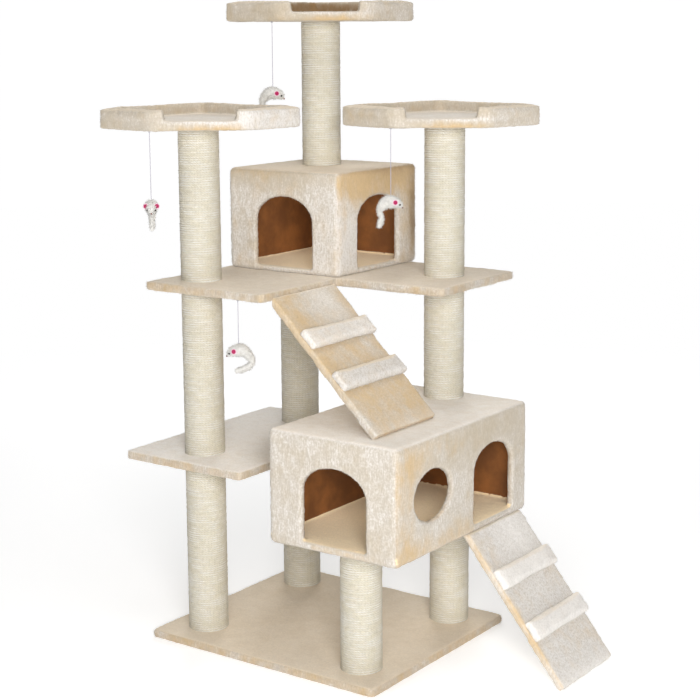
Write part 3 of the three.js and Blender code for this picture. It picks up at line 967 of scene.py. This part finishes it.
# A mouse's middle line from nose to tail tip, as (forward, up, radius) below its string.
BODY_LINE = [
    (0.0315, -0.0345, 0.0016), (0.0290, -0.0320, 0.0055), (0.0235, -0.0270, 0.0105),
    (0.0110, -0.0205, 0.0160), (-0.0080, -0.0185, 0.0175), (-0.0240, -0.0295, 0.0135),
]
TAIL_DOWN = [
    (-0.031, -0.047, 0.0085), (-0.026, -0.063, 0.0075), (-0.030, -0.080, 0.0085), (-0.035, -0.091, 0.005),
]
TAIL_UNDER = [
    (-0.025, -0.046, 0.0095), (-0.017, -0.062, 0.008), (-0.011, -0.077, 0.0075), (-0.007, -0.086, 0.004),
]
TAIL_CURLED = [
    (-0.035, -0.047, 0.0100), (-0.029, -0.062, 0.0090), (-0.010, -0.072, 0.009), (0.010, -0.077, 0.007),
]
EYE_SPOT = Vector((0.0250, 0.0100, -0.0262))
NOSE_TIP = Vector((0.0325, 0, -0.0350))
EAR_SIDEWAYS = (Vector((0.0122, 0.0178, -0.0190)), Vector((0.25, 1, 0.1)))  # its place and facing
EAR_FORWARD = (Vector((0.0170, 0.0150, -0.0160)), Vector((1, 0.35, 0.1)))


def smooth_line(line, steps):
    """More points on a smooth curve through the given ones."""
    given = np.array(line, float)
    padded = np.vstack([2 * given[0] - given[1], given, 2 * given[-1] - given[-2]])
    made = []
    for i in range(1, len(padded) - 2):
        a, b, c, d = padded[i - 1:i + 3]
        for t in np.arange(steps) / steps:
            made.append(0.5 * (2 * b + (c - a) * t + (2 * a - 5 * b + 4 * c - d) * t * t
                               + (3 * b - a - 3 * c + d) * t ** 3))
    made.append(given[-1])
    return np.array(made)


def skin(line, sides):
    """Points and faces of a closed round skin along a line of (forward, up, radius)."""
    middles = np.array([(x, 0, z) for x, z, _ in line])
    along = np.gradient(middles, axis=0)
    along /= np.linalg.norm(along, axis=1)[:, None]
    across = np.array((0.0, 1.0, 0.0))
    points = []
    for middle, direction, (_, _, radius) in zip(middles, along, line):
        up = np.cross(across, direction)
        for side in range(sides):
            angle = 2 * math.pi * side / sides
            points.append(middle + max(radius, 0.001) * (math.cos(angle) * across + math.sin(angle) * up))
    return points, skin_faces(len(line), sides)


def button(name, place, facing, radius, thickness, material, cup=0.0):
    """A round pad with a soft rim. A cup above 0 hollows its outer face, as an ear."""
    facing = Vector(facing).normalized()
    profile = [(0.0, 0.5 - cup), (0.5, 0.5 - cup * 0.6), (0.8, 0.5), (0.95, 0.3), (1.0, 0.0), (0.95, -0.3),
               (0.8, -0.5), (0.0, -0.5)]
    sides = 20
    points, faces = [], []
    for share, level in profile:
        for side in range(sides if share else 1):
            angle = 2 * math.pi * side / sides
            reach = radius * share
            points.append((reach * math.cos(angle), reach * math.sin(angle), thickness * level))
    last = len(points) - 1
    for side in range(sides):
        across = (side + 1) % sides
        faces.append((0, 1 + side, 1 + across))
        for ring in range(len(profile) - 3):
            a, b = 1 + ring * sides + side, 1 + ring * sides + across
            faces.append((a, a + sides, b + sides, b))
        ring = 1 + (len(profile) - 3) * sides
        faces.append((ring + side, last, ring + across))
    made = new_object(name, points, faces, [material])
    made.matrix_world = Matrix.Translation(place) @ facing.to_track_quat("Z", "Y").to_matrix().to_4x4()
    shade_smooth(made)
    return made


def toy_mouse(toy, tail, heading, ear, seed):
    """Fluffy body with felt ears, bead eyes and a nose, all riding on the toy's body."""
    low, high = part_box(f"{toy}_toy_string")
    place = Matrix.Translation(((low.x + high.x) / 2, (low.y + high.y) / 2, low.z)) @ turn(heading, "Z")
    points, faces = skin(smooth_line(BODY_LINE + tail, 5), 20)
    made = new_object(f"{toy}_mouse", [place @ Vector(p) for p in points], faces)
    remesh(made, 0.0014, 3)
    points = points_of(made)
    fluff = 0.0012 * lumps(points, 0.006, seed) + 0.0006 * lumps(points, 0.0025, seed + 1)
    move_points(made, points + normals_of(made) * fluff[:, None])
    add_tufts(made, 900, 0.0055, 0.0007, seed)
    finish_piece(made, f"{toy}_toy", [f"{toy}_toy_mouse"], WHITE_FLUFF)
    pieces = []
    turned = place.to_3x3()
    for side, sign in (("left", 1), ("right", -1)):
        flip = Vector((1, sign, 1))
        pieces.append(button(f"{toy}_mouse_{side}_ear", place @ (ear[0] * flip), turned @ (ear[1] * flip),
                             0.0085, 0.0024, EAR_FELT, 0.3))
        pieces.append(button(f"{toy}_mouse_{side}_eye", place @ (EYE_SPOT * flip),
                             turned @ Vector((0.9, sign, 0.3)), 0.0026, 0.005, BEAD, -0.4))
    pieces.append(button(f"{toy}_mouse_nose", place @ NOSE_TIP, turned @ Vector((1, 0, -0.6)), 0.0022, 0.003,
                         NOSE_FELT, -0.3))
    for piece in pieces:
        finish_piece(piece, f"{toy}_toy")


# ---------------------------------------------------------------- making the tree

MICE = {
    "left": (TAIL_UNDER, -49, EAR_FORWARD), "right": (TAIL_DOWN, 35, EAR_SIDEWAYS),
    "top": (TAIL_DOWN, 35, EAR_SIDEWAYS), "shelf": (TAIL_CURLED, 215, EAR_SIDEWAYS),
}
for number, (toy, (tail, heading, ear)) in enumerate(MICE.items()):
    cord, path, length = toy_string(toy)
    toy_mouse(toy, tail, heading, ear, 70 + number)
    string_staple(toy)

RIGHT_FACE, FRONT_FACE, TOP_FACE = (1, 0, 0), (0, -1, 0), (0, 0, 1)

# Each plush piece's tones with its patches: the tone, the way that the patched face looks, the
# patch's middle and radius, and its strength.
TONES = {
    "big_house": {"tan": 0.2, "gold": -0.25, "patches": [
        ("white", TOP_FACE, (0.25, 0.0, 0.71), (1, 1, 0.1), 0.6),
        ("gold", RIGHT_FACE, (0.488, -0.34, 0.58), (0.1, 0.08, 0.10), 0.9),
        ("gold", RIGHT_FACE, (0.488, -0.24, 0.67), (0.1, 0.13, 0.05), 0.8),
        ("gold", RIGHT_FACE, (0.488, -0.34, 0.42), (0.1, 0.10, 0.08), 0.6),
        ("gold", RIGHT_FACE, (0.488, -0.15, 0.40), (0.1, 0.22, 0.04), 0.9),
        ("tan", RIGHT_FACE, (0.488, 0.1, 0.66), (0.1, 0.3, 0.06), 0.4),
        ("gold", FRONT_FACE, (0.29, -0.37, 0.39), (0.11, 0.1, 0.02), 0.9),
    ]},
    "small_house": {"tan": -0.05, "gold": 0.0, "patches": [
        ("gold", RIGHT_FACE, (0.034, 0.20, 1.33), (0.1, 0.3, 0.08), 1.4),
        ("brown", RIGHT_FACE, (0.034, 0.28, 1.36), (0.1, 0.14, 0.06), 0.5),
        ("gold", RIGHT_FACE, (0.034, 0.38, 1.20), (0.1, 0.06, 0.15), 0.6),
        ("brown", RIGHT_FACE, (0.034, 0.40, 1.2), (0.1, 0.035, 0.13), 0.7),
        ("tan", FRONT_FACE, (-0.36, 0.01, 1.2), (0.08, 0.1, 0.3), 0.1),
        ("gold", FRONT_FACE, (-0.30, 0.01, 1.36), (0.2, 0.1, 0.03), 0.5),
        ("tan", FRONT_FACE, (-0.20, 0.01, 1.35), (0.3, 0.1, 0.05), 0.7),
        ("white", FRONT_FACE, (-0.16, 0.01, 1.08), (0.3, 0.1, 0.06), 0.3),
        ("tan", RIGHT_FACE, (0.034, 0.05, 1.15), (0.1, 0.07, 0.12), -0.4),
    ]},
    "upper_ramp_rung_1": {"tan": -0.2, "gold": 0.2, "white": 0.35},
    "upper_ramp_rung_2": {"tan": -0.3, "gold": -0.1, "white": 0.0},
    "lower_ramp_rung_1": {"tan": -0.5, "gold": -0.1, "white": 0.55},
    "lower_ramp_rung_2": {"tan": -0.5, "gold": -0.1, "white": 0.55},
    "base_board": {"tan": 0.2, "gold": 0.55, "brown": 0.12},
    "lower_shelf": {"tan": 0.1, "gold": 0.45, "patches": [
        ("white", TOP_FACE, (-0.3, 0.2, 0.6), (1, 1, 0.1), 1.1)]},
    "mid_shelf": {"tan": 0.2, "gold": 0.45, "brown": 0.05, "patches": [
        ("white", TOP_FACE, (0, 0, 1.05), (1, 1, 0.1), 0.25)]},
}


def ramp_tones(ramp_name, edge_gold, **tones):
    """Whitish pile where a ramp's top starts and ends, and more or less gold along its near edge."""
    low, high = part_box(ramp_name)
    uphill, middle = (0.65, 0, 0.76), (low + high) / 2
    return {**tones, "patches": [
        ("gold", uphill, (low.x + 0.03, middle.y + 0.05, high.z - 0.04), (0.12, 0.09, 0.12), -0.8),
        ("white", uphill, (low.x + 0.03, middle.y + 0.05, high.z - 0.04), (0.12, 0.09, 0.12), 0.35),
        ("white", uphill, (high.x, middle.y, low.z), (0.04, 0.3, 0.04), 0.35),
        ("gold", FRONT_FACE, (middle.x, low.y, middle.z), (1, 0.02, 1), edge_gold),
        ("gold", uphill, (middle.x, low.y, middle.z), (1, 0.012, 1), edge_gold),
    ]}


TONES["upper_ramp_board"] = ramp_tones("upper_ramp_board", -0.4, tan=0.25, gold=0.75)
TONES["lower_ramp_board"] = ramp_tones("lower_ramp_board", 0.6, tan=-0.2, gold=0.1, white=0.2)

TO_LIP = 0.151  # from a perch's middle to its open corner's lip
TO_BACK = 0.24  # and to its back corner

# Tan all over, painted shade inside the rim, and how much paler the right side is, as painted light.
PERCH_TONES = {"left": (0.45, 0.25, 0.9), "right": (0.5, 0.2, 0.2), "top": (0.55, 1.5, 0.3)}


def perch_tones(perch):
    """A pale lip and golden edge at the open corner, and painted shade on the cloth inside the rim."""
    tan, shade_inside, paler = PERCH_TONES[perch]
    low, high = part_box(f"{perch}_perch_seat")
    middle = (low + high) / 2
    to_corner = Vector((1, -1, 0)).normalized()
    front = middle + to_corner * TO_LIP
    back = middle - to_corner * TO_BACK
    return {"tan": tan, "gold": 0.0, "patches": [
        ("gold", to_corner, (front.x, front.y, low.z), (0.1, 0.1, 0.014), 1.0),
        ("tan", to_corner, (front.x, front.y, high.z), (0.1, 0.1, 0.008), -0.8),
        # Painted shade: the cloth inside the back of the rim is darkened toward brown.
        ("brown", to_corner, (back.x, back.y, high.z), (0.26, 0.26, 0.04), shade_inside),
        ("white", TOP_FACE, (middle.x, middle.y, high.z), (0.3, 0.3, 0.03), 0.5),
        # Painted light: the right side is made paler where the light falls on it.
        ("tan", RIGHT_FACE, (high.x, middle.y, high.z), (0.1, 0.3, 0.1), -paler),
    ]}


PERCHES = ("left", "right", "top")
RUNGS = [f"{place}_ramp_rung_{i}" for place in ("upper", "lower") for i in (1, 2)]
covers = {perch: perch_cover(perch) for perch in PERCHES}
pads = {rung: rung_pad(rung) for rung in RUNGS}
puff(dict([*covers.values(), *pads.values()]), 3.0, 0.004)
for number, (perch, (cover, _)) in enumerate(covers.items()):
    padded_piece(cover, [f"{perch}_perch_seat", f"{perch}_perch_rim"], 100 + number, perch_tones(perch))
for number, (rung, (pad, _)) in enumerate(pads.items()):
    padded_piece(pad, [rung], 110 + number, TONES[rung])

# Each board's tufts, about as many as its edges have room for.
BOARDS = {"base_board": 5000, "lower_shelf": 4000, "mid_shelf": 5500, "upper_ramp_board": 3000,
          "lower_ramp_board": 3000}
for number, (board, tufts) in enumerate(BOARDS.items()):
    plush_board(f"{board}_cover", [board], 10 + number, tufts, TONES[board])
for number, (house, sill) in enumerate((("big_house", 0.015), ("small_house", 0.002))):
    house_cover(house, 40 + number, TONES[house], sill)

for cad_name, cad_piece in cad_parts.items():
    if "_post_rope_" in cad_name:
        post, section = cad_name.split("_post_rope_")
        winding(post, section)
    elif "_post_core_" in cad_name:
        use_material(cad_piece, CARDBOARD)
    elif cad_name.endswith("_bolt"):
        use_material(cad_piece, STEEL)
